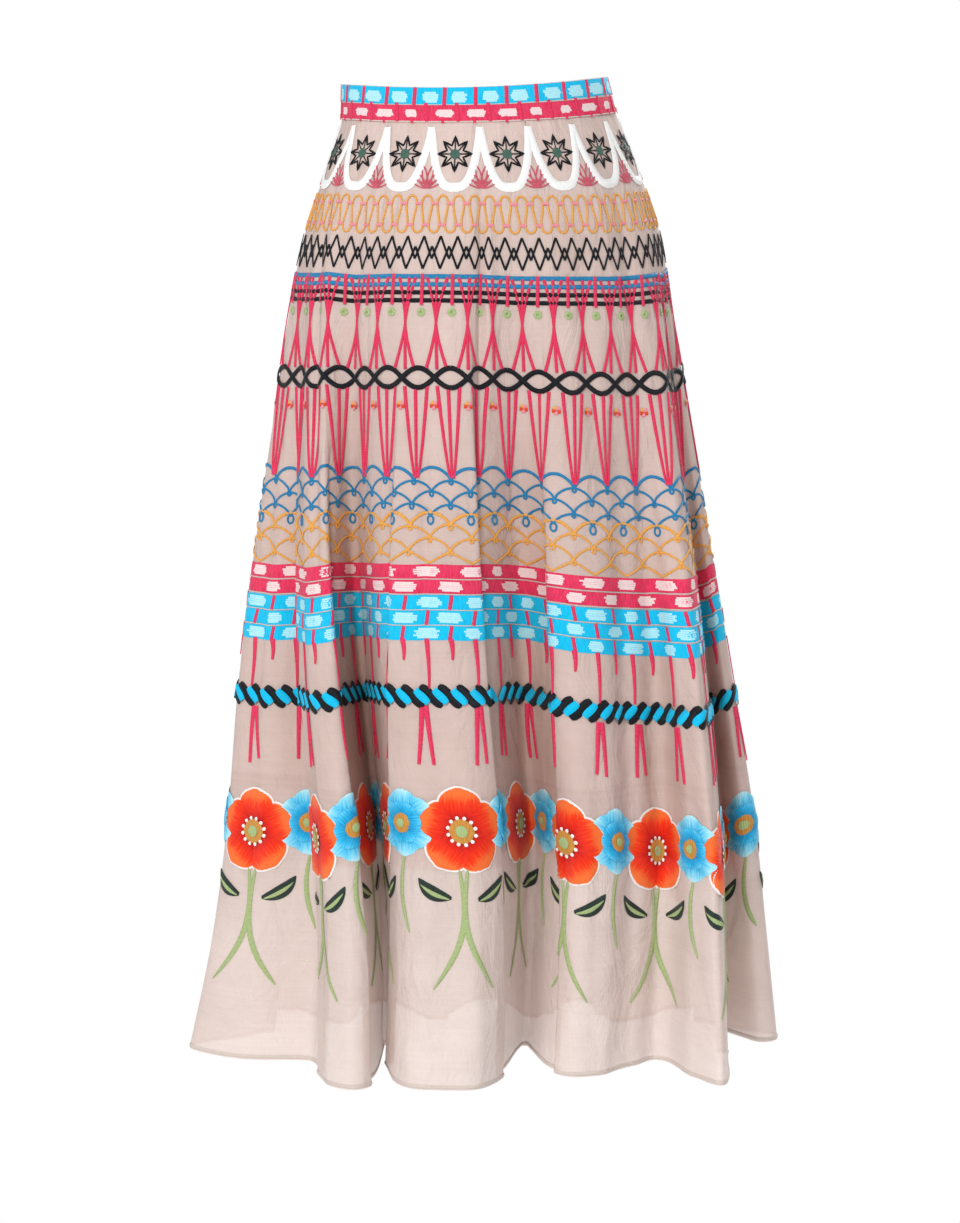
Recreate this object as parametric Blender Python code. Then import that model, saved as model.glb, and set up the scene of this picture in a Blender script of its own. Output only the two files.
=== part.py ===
"""A long flared skirt of sheer organza, standing hollow as if filled out.

Front is -Y, up is +Z, metres. The origin is the centre of the waistband,
halfway up it. A front panel and two back panels hang from the waistband,
a shorter lining hangs inside them, and a fine zip closes the centre back.
"""
from collections import namedtuple

import bmesh
import bpy
import numpy as np

# Sizes of the whole skirt, measured down from the top edge of the waistband.
BAND_HEIGHT = 0.033
HEM_DOWN = 0.944
LINING_DOWN = 0.735
ZIP_DOWN = 0.200
ORIGIN_DOWN = BAND_HEIGHT / 2

# Cloth walls and the gaps between pieces.
PANEL_WALL = 0.0012
LINING_WALL = 0.0010
BAND_OUTSIDE = 0.0006
BAND_INSIDE = 0.0024
SEAM_GAP = 0.0003
LINING_GAP_TOP = 0.0003
LINING_GAP_HEM = 0.0035

# The waist is a little lower at the front and back and higher on the right.
WAIST_DIP = 0.006
WAIST_TILT = 0.0035
LEVEL_DOWN = 0.55

# Folds open from the hip and keep widening down to the hem.
FOLD_TOP = 0.100
FOLD_GROWTH = 1.30

# The zip and its pull tab.
CHAIN_WIDTH = 0.0024
CHAIN_INSIDE = 0.0014
SLIDER_TOP = 0.0025
SLIDER_LENGTH = 0.0080
SLIDER_WIDTH = 0.0070
SLIDER_OUTSIDE = 0.0027
SLIDER_INSIDE = 0.0040
PULL_AXIS_OUT = 0.0040
EYE_HOLE = 0.0009
EYE_EDGE = 0.0015
EYE_WIDTH = 0.0012
PULL_THICK = 0.0008
PULL_WIDTH = 0.0046
PULL_WINDOW = 0.0026
PULL_ARMS = 0.0034
PULL_LENGTH = 0.0140
PULL_TIP = 0.0020
PULL_TAPER = 0.6
LINING_OPENING = CHAIN_WIDTH / 2 + 4 * SEAM_GAP

# The smooth body of the skirt: its half width and half depth at each level.
Section = namedtuple("Section", "down half_width half_depth centre_x centre_y")
SECTIONS = (
    Section(0.000, 0.1255, 0.092, 0.000, 0.000),
    Section(0.033, 0.1305, 0.097, 0.004, 0.001),
    Section(0.080, 0.1480, 0.110, 0.006, 0.004),
    Section(0.147, 0.1710, 0.122, 0.007, 0.007),
    Section(0.214, 0.1840, 0.130, 0.006, 0.008),
    Section(0.315, 0.2010, 0.139, 0.007, 0.007),
    Section(0.451, 0.2240, 0.150, 0.009, 0.005),
    Section(0.589, 0.2450, 0.160, 0.013, 0.003),
    Section(0.728, 0.2630, 0.170, 0.019, 0.001),
    Section(0.835, 0.2770, 0.177, 0.018, 0.000),
    Section(0.944, 0.2950, 0.185, 0.013, 0.000),
)

# Each fold line: its share of the way round from the centre back, going by
# the left side, where it meets the hem, and how roundly it turns there.
Fold = namedtuple("Fold", "name turn x y roundness")
FOLDS = (
    Fold("back ridge", 0.000, 0.015, 0.180, 0.9),
    Fold("back valley left", 0.044, -0.040, 0.098, 0.55),
    Fold("back ridge left", 0.086, -0.100, 0.172, 0.9),
    Fold("outer valley left", 0.130, -0.132, 0.078, 0.6),
    Fold("outer ridge left", 0.172, -0.200, 0.138, 0.9),
    Fold("side valley left", 0.213, -0.208, 0.046, 0.6),
    Fold("side ridge left", 0.256, -0.281, -0.011, 0.5),
    Fold("left front fall", 0.274, -0.232, -0.056, 0.6),
    Fold("left front valley", 0.290, -0.160, -0.068, 0.35),
    Fold("narrow ridge left edge", 0.302, -0.138, -0.152, 0.55),
    Fold("narrow ridge right edge", 0.329, -0.100, -0.152, 0.55),
    Fold("first recess", 0.366, -0.088, -0.012, 0.5),
    Fold("centre ridge left edge", 0.402, -0.076, -0.140, 0.5),
    Fold("centre ridge", 0.446, -0.028, -0.173, 0.8),
    Fold("centre ridge right edge", 0.488, 0.018, -0.146, 0.5),
    Fold("second recess", 0.533, 0.048, -0.012, 0.5),
    Fold("broad ridge left edge", 0.574, 0.076, -0.104, 0.55),
    Fold("broad ridge", 0.600, 0.108, -0.122, 0.8),
    Fold("broad ridge fall", 0.640, 0.152, -0.086, 0.8),
    Fold("shallow valley", 0.660, 0.182, -0.064, 0.75),
    Fold("corner ridge left edge", 0.680, 0.209, -0.124, 0.55),
    Fold("corner ridge", 0.700, 0.241, -0.142, 0.6),
    Fold("right side valley", 0.722, 0.246, 0.040, 0.4),
    Fold("side ridge right", 0.742, 0.284, 0.006, 0.6),
    Fold("side ridge right back", 0.762, 0.299, 0.031, 0.6),
    Fold("side valley right", 0.797, 0.232, 0.080, 0.6),
    Fold("outer ridge right", 0.832, 0.222, 0.146, 0.8),
    Fold("outer valley right", 0.876, 0.142, 0.084, 0.6),
    Fold("back ridge right", 0.919, 0.108, 0.174, 0.9),
    Fold("back valley right", 0.959, 0.060, 0.100, 0.6),
)

# Levels of the panels' rows, down from the waistband's top.
PANEL_ROWS = (0.0333, 0.060, 0.090, 0.125, 0.160, 0.200, 0.2015,
              0.270, 0.360, 0.480, 0.630, 0.780, HEM_DOWN)
LINING_ROWS = (*[down for down in PANEL_ROWS if down < LINING_DOWN], LINING_DOWN)
PANEL_STEP = 0.0265
BEND_LENGTH = 0.022
BAND_STEPS = 72
CHAIN_ROWS = 9

# How finely turns are probed, and how much each level counts for the columns.
TURN_PROBE = 0.002
TURN_NUDGE = 0.0008
TURN_SAMPLES = 3000
COLUMN_LEVELS = ((0.150, 0.2), (0.500, 0.4), (HEM_DOWN, 0.4))

SIDE_SEAMS = (0.256, 0.7505)

# Colours as linear red, green and blue.
BLUSH = (0.80, 0.64, 0.58, 1.0)
NUDE = (0.76, 0.56, 0.50, 1.0)
PINK = (0.72, 0.04, 0.13, 1.0)
IVORY = (0.80, 0.74, 0.70, 1.0)
STEEL = (0.62, 0.61, 0.60, 1.0)


def clear_scene():
    """Take out whatever the file starts with."""
    for item in list(bpy.data.objects):
        bpy.data.objects.remove(item, do_unlink=True)


def material(name, colour, roughness, metallic=0.0):
    """A plain material for one piece."""
    made = bpy.data.materials.new(name)
    made.use_nodes = True
    shader = made.node_tree.nodes["Principled BSDF"]
    shader.inputs["Base Color"].default_value = colour
    shader.inputs["Roughness"].default_value = roughness
    shader.inputs["Metallic"].default_value = metallic
    made.diffuse_color = colour
    return made


def eased(start, end, start_slope, end_slope, t):
    """A cubic between two values with a slope at each end."""
    square = t * t
    cube = square * t
    return ((2 * cube - 3 * square + 1) * start + (cube - 2 * square + t) * start_slope
            + (3 * square - 2 * cube) * end + (cube - square) * end_slope)


def section_table(steps=2000):
    """The sections joined by one smooth profile."""
    rows = np.array(SECTIONS)
    slopes = np.gradient(rows, rows[:, 0], axis=0)
    down = np.linspace(rows[0, 0], rows[-1, 0], steps)
    place = np.clip(np.searchsorted(rows[:, 0], down, side="right") - 1, 0, len(rows) - 2)
    span = (rows[place + 1, 0] - rows[place, 0])[:, None]
    t = (down[:, None] - rows[place, :1]) / span
    return down, eased(rows[place], rows[place + 1], slopes[place] * span,
                       slopes[place + 1] * span, t)


def hem_table(steps=200):
    """The hem's closed plan curve through the fold lines, by turn."""
    places = np.array([[fold.x, fold.y] for fold in FOLDS])
    turns = np.array([fold.turn for fold in FOLDS])
    roundness = np.array([[fold.roundness] for fold in FOLDS])
    before, after = np.roll(places, 1, axis=0), np.roll(places, -1, axis=0)
    spans = np.mod(np.roll(turns, -1) - turns, 1.0)
    both = (spans + np.roll(spans, 1))[:, None]
    slopes = 2 * roundness * (after - before) / both
    t = np.linspace(0, 1, steps, endpoint=False)
    curve, along = [], []
    for i, span in enumerate(spans):
        j = (i + 1) % len(FOLDS)
        curve.append(eased(places[i], places[j], slopes[i] * span, slopes[j] * span, t[:, None]))
        along.append(turns[i] + span * t)
    curve.append(places[:1])
    along.append([1.0])
    return np.concatenate(along), np.concatenate(curve)


SECTION_DOWN, SECTION_FINE = section_table()
HEM_TURN, HEM_CURVE = hem_table()


def section(down):
    """Half width, half depth and centre of the body at a level."""
    return [np.interp(down, SECTION_DOWN, SECTION_FINE[:, column]) for column in range(1, 5)]


def body_angle(turn, half_width, half_depth):
    """The ellipse angle that lies a share of the way round, by length."""
    width, depth = half_width ** 2, half_depth ** 2
    lag = (width - depth) / (4 * (width + depth))
    angle = 2 * np.pi * turn
    return angle - lag * np.sin(2 * angle)


def body_point(turn, down):
    """A point of the smooth body, in plan."""
    half_width, half_depth, centre_x, centre_y = section(down)
    angle = body_angle(turn, half_width, half_depth)
    return np.stack([centre_x - half_width * np.sin(angle),
                     centre_y + half_depth * np.cos(angle)], -1)


def cloth_plan(turn, down):
    """A point of the outer cloth in plan, folds included."""
    turn, down = np.broadcast_arrays(np.asarray(turn, float), np.asarray(down, float))
    wrapped = np.mod(turn, 1.0)
    hem = np.stack([np.interp(wrapped, HEM_TURN, HEM_CURVE[:, k]) for k in range(2)], -1)
    grown = np.clip((down - FOLD_TOP) / (HEM_DOWN - FOLD_TOP), 0, 1) ** FOLD_GROWTH
    fold = hem - body_point(wrapped, np.full_like(down, HEM_DOWN))
    return body_point(wrapped, down) + grown[..., None] * fold


def cloth_height(turn, down):
    """World height of a level: the waist dips and tilts, the hem is level."""
    half_width, half_depth, _, _ = section(down)
    angle = body_angle(turn, half_width, half_depth)
    fade = np.clip(1 - down / LEVEL_DOWN, 0, 1)
    rise = -WAIST_TILT * np.sin(angle) - WAIST_DIP * np.cos(angle) ** 2
    return ORIGIN_DOWN - down + fade * rise


def cloth_point(turn, down, inside=0.0):
    """A point at a distance inside the outer cloth, straight in from it."""
    turn, down = np.broadcast_arrays(np.asarray(turn, float), np.asarray(down, float))
    ahead = cloth_plan(turn + TURN_NUDGE, down)
    behind = cloth_plan(turn - TURN_NUDGE, down)
    tangent = ahead - behind
    tangent = tangent / np.linalg.norm(tangent, axis=-1, keepdims=True)
    inward = np.stack([-tangent[..., 1], tangent[..., 0]], -1)
    plan = cloth_plan(turn, down) + np.asarray(inside)[..., None] * inward
    return np.concatenate([plan, cloth_height(turn, down)[..., None]], -1)


def even_turns(first, last, step):
    """Turns between two seams, closer where the cloth is long or bends."""
    turns = np.linspace(first, last, TURN_SAMPLES)
    spread = np.zeros(len(turns))
    for down, weight in COLUMN_LEVELS:
        moves = np.diff(cloth_plan(turns, down), axis=0)
        heading = np.unwrap(np.arctan2(moves[:, 1], moves[:, 0]))
        bend = np.abs(np.diff(heading, prepend=heading[0]))
        length = np.linalg.norm(moves, axis=1)
        spread[1:] += weight * np.cumsum(length + BEND_LENGTH * bend)
    count = max(2, int(round(spread[-1] / step)))
    return np.interp(np.linspace(0, spread[-1], count + 1), spread, turns)


def add_object(name, mesh_build, made_of):
    """A named object from a finished bmesh."""
    bmesh.ops.recalc_face_normals(mesh_build, faces=mesh_build.faces)
    if mesh_build.calc_volume(signed=True) < 0:
        bmesh.ops.reverse_faces(mesh_build, faces=mesh_build.faces)
    mesh = bpy.data.meshes.new(name)
    mesh_build.to_mesh(mesh)
    mesh_build.free()
    mesh.polygons.foreach_set("use_smooth", [True] * len(mesh.polygons))
    piece = bpy.data.objects.new(name, mesh)
    piece.data.materials.append(made_of)
    bpy.context.scene.collection.objects.link(piece)
    return piece


def wall_piece(name, outer, inner, made_of):
    """A closed wall between two grids of points, rows by columns."""
    build = bmesh.new()
    rows, columns = outer.shape[:2]
    skins = [[[build.verts.new(point) for point in row] for row in grid]
             for grid in (outer, inner)]
    for skin in skins:
        for i in range(rows - 1):
            for j in range(columns - 1):
                build.faces.new((skin[i][j], skin[i][j + 1], skin[i + 1][j + 1], skin[i + 1][j]))
    for i in (0, rows - 1):
        for j in range(columns - 1):
            build.faces.new((skins[0][i][j], skins[0][i][j + 1],
                             skins[1][i][j + 1], skins[1][i][j]))
    for j in (0, columns - 1):
        for i in range(rows - 1):
            build.faces.new((skins[0][i][j], skins[0][i + 1][j],
                             skins[1][i + 1][j], skins[1][i][j]))
    bmesh.ops.triangulate(build, faces=build.faces)
    return add_object(name, build, made_of)


def seam_shift(turn, down, away):
    """The change of turn that moves a point a distance along the cloth."""
    step = cloth_plan(turn + TURN_PROBE, down) - cloth_plan(turn, down)
    return away * TURN_PROBE / np.linalg.norm(step, axis=-1)


def panel_grid(first, last, rows, first_gaps, last_gaps, turns):
    """Turns of a piece, with each side edge held off its seam line."""
    share = (turns - first) / (last - first)
    down = np.array(rows)
    start = first + seam_shift(first, down, np.array(first_gaps))
    end = last - seam_shift(last, down, np.array(last_gaps))
    grid = start[:, None] + (end - start)[:, None] * share[None, :]
    return grid, np.repeat(down[:, None], len(turns), axis=1)


def build_panel(name, first, last, made_of):
    """One outer panel between two seam lines."""
    plain = [SEAM_GAP / 2] * len(PANEL_ROWS)
    beside_zip = [CHAIN_WIDTH / 2 + SEAM_GAP if down <= ZIP_DOWN else SEAM_GAP / 2
                  for down in PANEL_ROWS]
    first_gaps = beside_zip if first == 0.0 else plain
    last_gaps = beside_zip if last == 1.0 else plain
    turns = even_turns(first, last, PANEL_STEP)
    turn, down = panel_grid(first, last, PANEL_ROWS, first_gaps, last_gaps, turns)
    return wall_piece(name, cloth_point(turn, down), cloth_point(turn, down, PANEL_WALL), made_of)


def build_lining(made_of):
    """The slip inside the panels, open behind the zip."""
    opening = [LINING_OPENING if down <= ZIP_DOWN else SEAM_GAP / 2 for down in LINING_ROWS]
    seams = (0.0, *SIDE_SEAMS, 1.0)
    turns = np.unique(np.concatenate([even_turns(first, last, PANEL_STEP)
                                      for first, last in zip(seams, seams[1:])]))
    turn, down = panel_grid(0.0, 1.0, LINING_ROWS, opening, opening, turns)
    share = np.clip((down - BAND_HEIGHT) / (LINING_DOWN - BAND_HEIGHT), 0, 1)
    gap = LINING_GAP_TOP + (LINING_GAP_HEM - LINING_GAP_TOP) * np.sqrt(share)
    inside = PANEL_WALL + gap
    return wall_piece("lining", cloth_point(turn, down, inside),
                      cloth_point(turn, down, inside + LINING_WALL), made_of)


def build_waistband(made_of):
    """The firm band round the waist, with its ends at the zip."""
    down = np.array([0.0, BAND_HEIGHT])
    share = np.linspace(0, 1, BAND_STEPS + 1)
    away = seam_shift(0.0, down, CHAIN_WIDTH / 2 + SEAM_GAP)
    turn = away[:, None] + (1 - 2 * away)[:, None] * share[None, :]
    levels = np.repeat(down[:, None], len(share), axis=1)
    return wall_piece("waistband", cloth_point(turn, levels, -BAND_OUTSIDE),
                      cloth_point(turn, levels, BAND_INSIDE), made_of)


def back_point(down):
    """The centre-back line of the outer cloth."""
    return cloth_point(0.0, down)


def build_zip_chain(made_of):
    """The closed zip, a narrow strip from under its slider to its end."""
    first = SLIDER_TOP + SLIDER_LENGTH + SEAM_GAP
    levels = np.concatenate([[first], np.linspace(BAND_HEIGHT, ZIP_DOWN - SEAM_GAP, CHAIN_ROWS)])
    line = np.array([back_point(down) for down in levels])
    half = CHAIN_WIDTH / 2
    outer = np.stack([line + (side, BAND_OUTSIDE, 0) for side in (-half, half)], 1)
    inner = np.stack([line + (side, -CHAIN_INSIDE, 0) for side in (-half, half)], 1)
    return wall_piece("zip_chain", outer, inner, made_of)


def build_slider(made_of):
    """A slider with a web between two plates, and a square eye for the pull."""
    web = CHAIN_WIDTH / 2
    wide = SLIDER_WIDTH / 2
    fin = EYE_WIDTH / 2
    middle = SLIDER_LENGTH / 2
    across = (-wide, -web, -fin, fin, web, wide)
    outward = (-SLIDER_INSIDE, -BAND_INSIDE - SEAM_GAP, BAND_OUTSIDE + SEAM_GAP, SLIDER_OUTSIDE,
               PULL_AXIS_OUT - EYE_HOLE, PULL_AXIS_OUT + EYE_HOLE, PULL_AXIS_OUT + EYE_EDGE)
    along = (0, middle - EYE_EDGE, middle - EYE_HOLE, middle + EYE_HOLE, middle + EYE_EDGE,
             SLIDER_LENGTH)

    def filled(i, j, k):
        """Whether a cell across, outward and along is metal."""
        if not (0 <= i < 5 and 0 <= j < 6 and 0 <= k < 5):
            return False
        if j in (0, 2):
            return True
        if j == 1:
            return i in (1, 2, 3)
        return i == 2 and k in (1, 2, 3) and (j, k) != (4, 2)

    levels = [back_point(SLIDER_TOP + down) for down in along]
    build = bmesh.new()
    corners = {}

    def corner(i, j, k):
        """The corner shared by the cells that meet at it."""
        if (i, j, k) not in corners:
            place = levels[k] + np.array((across[i], outward[j], 0))
            corners[i, j, k] = build.verts.new(place)
        return corners[i, j, k]

    around = ((0, 0), (1, 0), (1, 1), (0, 1))
    cells = [(i, j, k) for i in range(5) for j in range(6) for k in range(5) if filled(i, j, k)]
    for cell in cells:
        for axis in range(3):
            for side in (0, 1):
                beside = list(cell)
                beside[axis] += 2 * side - 1
                if filled(*beside):
                    continue
                face = []
                for pair in around:
                    place = [0, 0, 0]
                    place[axis] = cell[axis] + side
                    place[axis - 1] = cell[axis - 1] + pair[0]
                    place[axis - 2] = cell[axis - 2] + pair[1]
                    face.append(corner(*place))
                build.faces.new(face)
    bmesh.ops.triangulate(build, faces=build.faces)
    return add_object("zip_slider", build, made_of)


def pull_centre():
    """The middle of the pull's bar, where it turns in the slider's eye."""
    level = back_point(SLIDER_TOP + SLIDER_LENGTH / 2)
    return level + np.array((0, PULL_AXIS_OUT, 0))


def build_pull(made_of):
    """A thin tab with a window, hung by its top bar."""
    across = (-PULL_WIDTH / 2, -PULL_WINDOW / 2, PULL_WINDOW / 2, PULL_WIDTH / 2)
    heights = (PULL_THICK / 2, -PULL_THICK / 2, -PULL_ARMS, PULL_TIP - PULL_LENGTH, -PULL_LENGTH)
    taper = (1.0, 1.0, 1.0, 1.0, PULL_TAPER)
    build = bmesh.new()
    grid = [[build.verts.new((x * narrow, -PULL_THICK / 2, z)) for x in across]
            for z, narrow in zip(heights, taper)]
    faces = [build.faces.new((grid[i][j], grid[i][j + 1], grid[i + 1][j + 1], grid[i + 1][j]))
             for i in range(len(heights) - 1) for j in range(3) if (i, j) != (1, 1)]
    made = bmesh.ops.extrude_face_region(build, geom=faces)
    moved = [item for item in made["geom"] if isinstance(item, bmesh.types.BMVert)]
    bmesh.ops.translate(build, verts=moved, vec=(0, PULL_THICK, 0))
    bmesh.ops.recalc_face_normals(build, faces=build.faces)
    pull = add_object("zip_pull", build, made_of)
    pull.location = pull_centre()
    return pull


def main():
    """Build every piece of the skirt."""
    clear_scene()
    organza = material("organza", BLUSH, 0.55)
    slip = material("lining_cloth", NUDE, 0.6)
    band = material("band_cloth", PINK, 0.5)
    tape = material("zip_tape", IVORY, 0.6)
    metal = material("zip_metal", STEEL, 0.3, 1.0)
    left_seam, right_seam = SIDE_SEAMS
    build_waistband(band)
    build_panel("back_panel_left", 0.0, left_seam, organza)
    build_panel("front_panel", left_seam, right_seam, organza)
    build_panel("back_panel_right", right_seam, 1.0, organza)
    build_lining(slip)
    build_zip_chain(tape)
    build_slider(metal)
    build_pull(metal)


main()
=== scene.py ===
"""The looks of a long flared organza skirt with embroidered bands."""
import math
from collections import namedtuple

import bmesh
import bpy
import numpy as np
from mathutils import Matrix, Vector


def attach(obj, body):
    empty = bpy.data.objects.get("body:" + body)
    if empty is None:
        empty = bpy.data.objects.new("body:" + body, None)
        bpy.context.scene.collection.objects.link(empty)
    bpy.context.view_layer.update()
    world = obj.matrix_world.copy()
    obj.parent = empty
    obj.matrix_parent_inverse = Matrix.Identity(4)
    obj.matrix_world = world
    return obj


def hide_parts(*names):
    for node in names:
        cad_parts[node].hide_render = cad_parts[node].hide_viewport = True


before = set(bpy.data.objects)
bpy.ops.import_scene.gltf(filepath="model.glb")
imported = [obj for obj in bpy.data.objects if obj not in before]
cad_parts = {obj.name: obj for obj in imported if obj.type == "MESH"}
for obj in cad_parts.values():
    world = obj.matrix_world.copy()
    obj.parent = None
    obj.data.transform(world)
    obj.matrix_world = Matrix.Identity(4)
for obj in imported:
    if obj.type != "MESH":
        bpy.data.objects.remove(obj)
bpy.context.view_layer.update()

# Sizes of the whole skirt, measured down from the top edge of the waistband.
BAND_HEIGHT = 0.033
PANEL_TOP = 0.0333
HEM_DOWN = 0.944
LINING_DOWN = 0.735
ZIP_DOWN = 0.200
ORIGIN_DOWN = BAND_HEIGHT / 2
SEAM_GAP = 0.0003
CHAIN_WIDTH = 0.0024
PANEL_WALL = 0.0012
LINING_GAP_TOP = 0.0003
LINING_GAP_HEM = 0.0035
WAIST_DIP = 0.006
WAIST_TILT = 0.0035
LEVEL_DOWN = 0.55
FOLD_TOP = 0.100
FOLD_GROWTH = 1.30
SIDE_SEAMS = (0.256, 0.7505)
NEARLY_ZERO = 1e-12
NUDGE = 0.0008


def table(name, fields, rows):
    """Rows of values with a name for each column."""
    kind = namedtuple(name, fields)
    return tuple(kind(*row) for row in rows)


SECTIONS = table("Section", "down half_width half_depth centre_x centre_y", (
    (0.000, 0.1255, 0.092, 0.000, 0.000),
    (0.033, 0.1305, 0.097, 0.004, 0.001),
    (0.080, 0.1480, 0.110, 0.006, 0.004),
    (0.147, 0.1710, 0.122, 0.007, 0.007),
    (0.214, 0.1840, 0.130, 0.006, 0.008),
    (0.315, 0.2010, 0.139, 0.007, 0.007),
    (0.451, 0.2240, 0.150, 0.009, 0.005),
    (0.589, 0.2450, 0.160, 0.013, 0.003),
    (0.728, 0.2630, 0.170, 0.019, 0.001),
    (0.835, 0.2770, 0.177, 0.018, 0.000),
    (0.944, 0.2950, 0.185, 0.013, 0.000),
))

# The folds at the hem: ridges and valleys from the centre back round by the left side.
FOLDS = table("Fold", "turn x y roundness", (
    (0.000, 0.015, 0.180, 0.9),
    (0.044, -0.040, 0.098, 0.55),
    (0.086, -0.100, 0.172, 0.9),
    (0.130, -0.132, 0.078, 0.6),
    (0.172, -0.200, 0.138, 0.9),
    (0.213, -0.208, 0.046, 0.6),
    (0.256, -0.281, -0.011, 0.5),
    (0.274, -0.232, -0.056, 0.6),
    (0.290, -0.160, -0.068, 0.35),
    (0.302, -0.138, -0.152, 0.55),
    (0.329, -0.100, -0.152, 0.55),
    (0.366, -0.088, -0.012, 0.5),
    (0.402, -0.076, -0.140, 0.5),
    (0.446, -0.028, -0.173, 0.8),
    (0.488, 0.018, -0.146, 0.5),
    (0.533, 0.048, -0.012, 0.5),
    (0.574, 0.076, -0.104, 0.55),
    (0.600, 0.108, -0.122, 0.8),
    (0.640, 0.152, -0.086, 0.8),
    (0.660, 0.182, -0.064, 0.75),
    (0.680, 0.209, -0.124, 0.55),
    (0.700, 0.241, -0.142, 0.6),
    (0.722, 0.246, 0.040, 0.4),
    (0.742, 0.284, 0.006, 0.6),
    (0.762, 0.299, 0.031, 0.6),
    (0.797, 0.232, 0.080, 0.6),
    (0.832, 0.222, 0.146, 0.8),
    (0.876, 0.142, 0.084, 0.6),
    (0.919, 0.108, 0.174, 0.9),
    (0.959, 0.060, 0.100, 0.6),
))

# How far the embroidered bands hang below their level, round the skirt.
DROP_TABLE = np.array((
    (0.000, 0.0100), (0.120, 0.0120), (0.220, 0.0150), (0.275, 0.0170),
    (0.305, 0.0115), (0.330, 0.0040), (0.365, 0.0090), (0.405, 0.0000),
    (0.455, -0.0020), (0.495, 0.0000), (0.535, 0.0090), (0.575, 0.0130),
    (0.615, 0.0200), (0.655, 0.0280), (0.700, 0.0260), (0.725, 0.0340),
    (0.745, 0.0240), (0.800, 0.0170), (0.900, 0.0120), (1.000, 0.0100),
))
DROP_DOWN = 0.57

# Small creases and pleats: a turn, the levels they run between, a width and a depth.
CREASES = table("Crease", "turn lean top bottom width depth", (
    (0.4995, 0.000, 0.085, 0.330, 0.0040, -0.0060),
    (0.506, 0.002, 0.110, 0.300, 0.0060, 0.0020),
    (0.312, 0.004, 0.080, 0.560, 0.0050, -0.0045),
    (0.326, 0.004, 0.120, 0.360, 0.0070, 0.0025),
    (0.445, -0.006, 0.240, 0.560, 0.0060, -0.0030),
    (0.605, 0.006, 0.120, 0.420, 0.0100, -0.0035),
    (0.634, 0.004, 0.300, 0.944, 0.0140, -0.0060),
    (0.590, 0.004, 0.620, 0.944, 0.0160, 0.0035),
    (0.446, 0.002, 0.560, 0.944, 0.0200, -0.0045),
    (0.461, 0.006, 0.700, 0.944, 0.0120, 0.0030),
    (0.366, -0.002, 0.060, 0.300, 0.0080, -0.0030),
    (0.660, 0.000, 0.060, 0.300, 0.0090, -0.0032),
    (0.270, 0.000, 0.200, 0.800, 0.0120, -0.0040),
    (0.020, 0.002, 0.230, 0.800, 0.0110, -0.0045),
    (0.065, -0.004, 0.120, 0.600, 0.0090, -0.0038),
    (0.118, 0.003, 0.180, 0.900, 0.0140, 0.0030),
    (0.150, 0.000, 0.090, 0.420, 0.0080, -0.0036),
    (0.195, 0.004, 0.300, 0.944, 0.0150, -0.0048),
    (0.235, 0.000, 0.150, 0.500, 0.0080, -0.0034),
    (0.775, 0.003, 0.120, 0.620, 0.0090, -0.0040),
    (0.815, -0.003, 0.260, 0.944, 0.0150, -0.0050),
    (0.860, 0.002, 0.100, 0.480, 0.0080, -0.0034),
    (0.905, 0.004, 0.200, 0.900, 0.0130, 0.0030),
    (0.935, -0.002, 0.110, 0.560, 0.0090, -0.0040),
    (0.978, 0.003, 0.240, 0.944, 0.0120, -0.0044),
))

# Sharp fold edges: a line that stands out on one side and falls back on the
# other, which is to the right where side is 1 and to the left where it is -1.
PLEATS = table("Pleat", "turn lean top out back reach side", (
    (0.290, 0.006, 0.280, 0.0045, 0.0065, 0.020, -1),
    (0.329, 0.000, 0.240, 0.0050, 0.0085, 0.022, 1),
    (0.420, -0.034, 0.220, 0.0045, 0.0070, 0.018, -1),
    (0.488, 0.009, 0.150, 0.0045, 0.0075, 0.022, 1),
    (0.556, 0.020, 0.260, 0.0045, 0.0075, 0.022, -1),
    (0.712, 0.000, 0.300, 0.0050, 0.0080, 0.022, 1),
    (0.032, 0.004, 0.210, 0.0045, 0.0070, 0.022, 1),
    (0.103, -0.008, 0.260, 0.0045, 0.0075, 0.020, -1),
    (0.158, 0.006, 0.240, 0.0040, 0.0070, 0.022, 1),
    (0.218, -0.004, 0.320, 0.0045, 0.0065, 0.020, -1),
    (0.794, 0.006, 0.250, 0.0045, 0.0075, 0.022, 1),
    (0.848, -0.008, 0.300, 0.0045, 0.0070, 0.020, -1),
    (0.886, 0.006, 0.220, 0.0045, 0.0075, 0.022, 1),
    (0.952, -0.006, 0.260, 0.0045, 0.0070, 0.020, -1),
))
PLEAT_EDGE = 0.0022
PLEAT_GROWTH = 0.220
# How evenly a crease runs out to its ends, and how far it goes past its foot.
CREASE_POWER = 0.8
CREASE_SPAN = (0.94, 0.03)
CREASE_PAST = 0.001


def eased(start, end, start_slope, end_slope, t):
    """A cubic between two values with a slope at each end."""
    square = t * t
    cube = square * t
    return ((2 * cube - 3 * square + 1) * start + (cube - 2 * square + t) * start_slope
            + (3 * square - 2 * cube) * end + (cube - square) * end_slope)


def section_table(steps=2000):
    """The sections joined by one smooth profile."""
    rows = np.array(SECTIONS)
    slopes = np.gradient(rows, rows[:, 0], axis=0)
    down = np.linspace(rows[0, 0], rows[-1, 0], steps)
    place = np.clip(np.searchsorted(rows[:, 0], down, side="right") - 1, 0, len(rows) - 2)
    span = (rows[place + 1, 0] - rows[place, 0])[:, None]
    t = (down[:, None] - rows[place, :1]) / span
    return down, eased(rows[place], rows[place + 1], slopes[place] * span,
                       slopes[place + 1] * span, t)


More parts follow.
